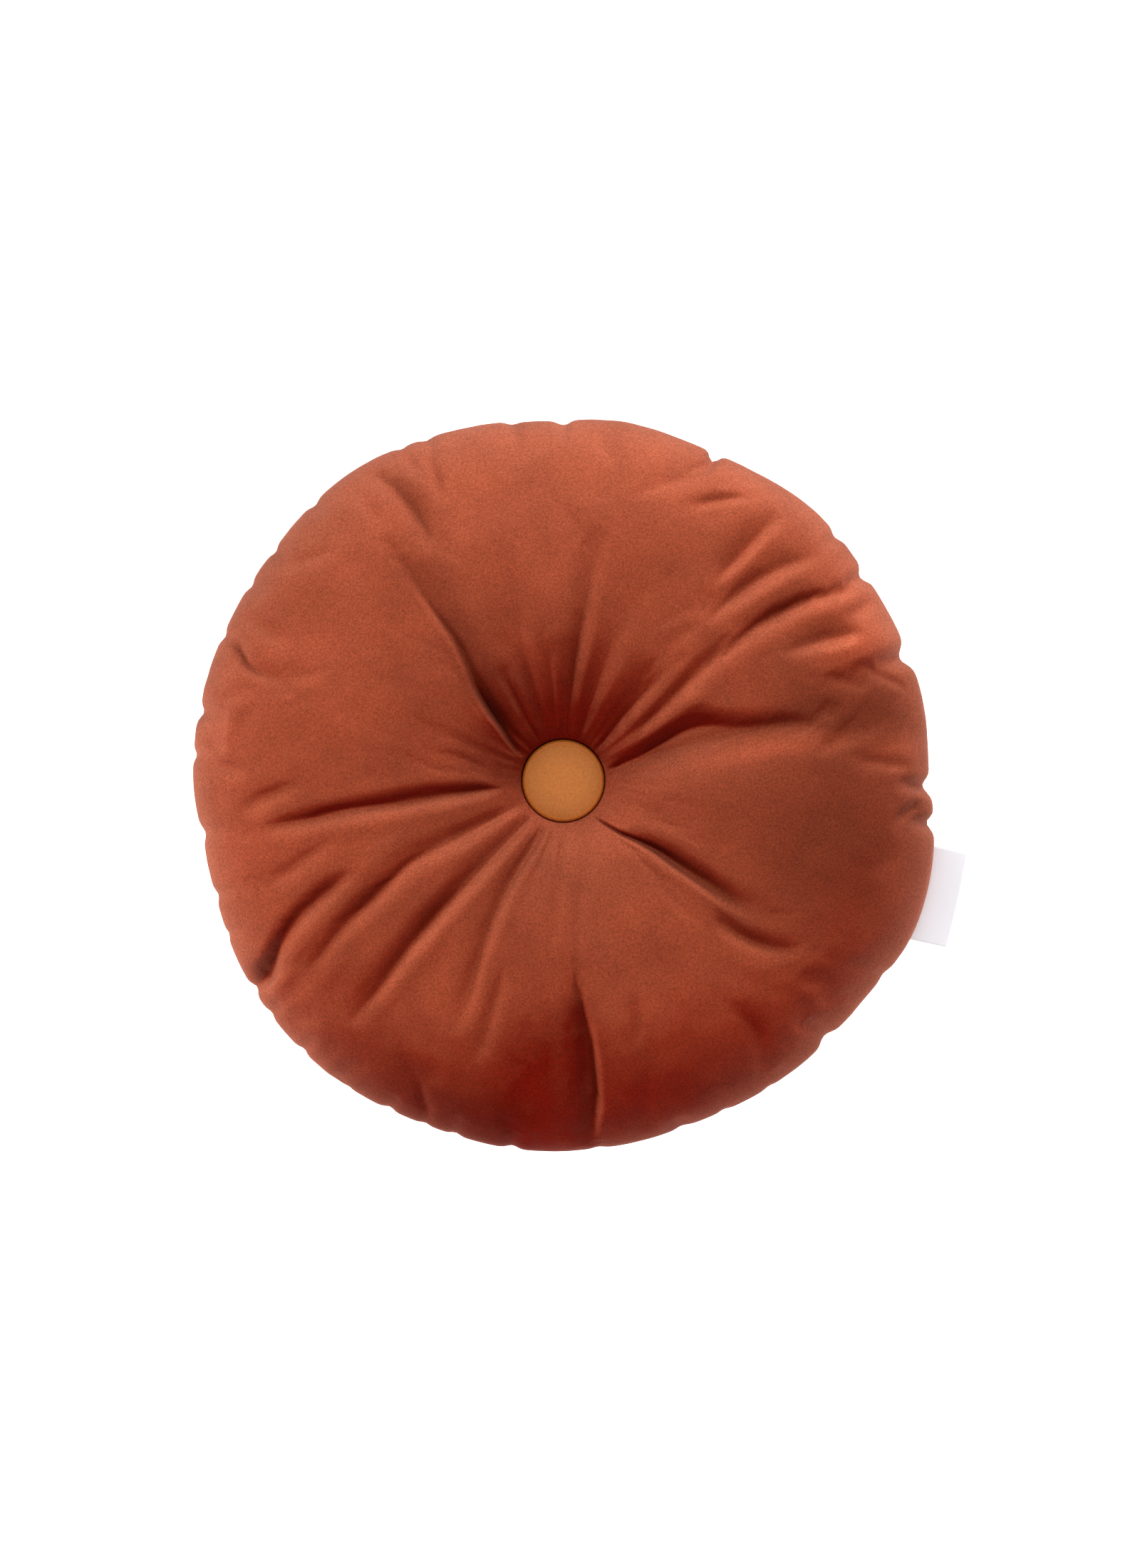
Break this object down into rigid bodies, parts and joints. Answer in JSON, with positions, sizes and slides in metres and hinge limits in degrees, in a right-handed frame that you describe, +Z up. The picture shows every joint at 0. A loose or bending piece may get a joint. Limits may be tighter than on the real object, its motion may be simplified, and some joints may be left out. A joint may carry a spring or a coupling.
{
  "type": "cushion",
  "caption": "Round velvet cushion, drawn in at its centre by a covered button, with gathered folds and a blank ribbon label in its rim seam.",
  "frame": {"origin": "centre of the bounding box's underside, on the surface that the cushion's back rests on", "axes": "+Z up out of the cushion's front face; +X in the plane of the face, towards the side where the label stands out of the seam, which is the longest way across"},
  "size_m": [0.4684, 0.4456, 0.1144],
  "materials": {
    "velvet": "rust-coloured short-pile velvet",
    "button_leather": "tan leather, semi-matte",
    "label_ribbon": "off-white woven ribbon"
  },
  "bodies": {
    "root": {"cushion": "velvet", "front_button": "button_leather", "back_button": "button_leather", "label": "label_ribbon"}
  },
  "joints": []
}
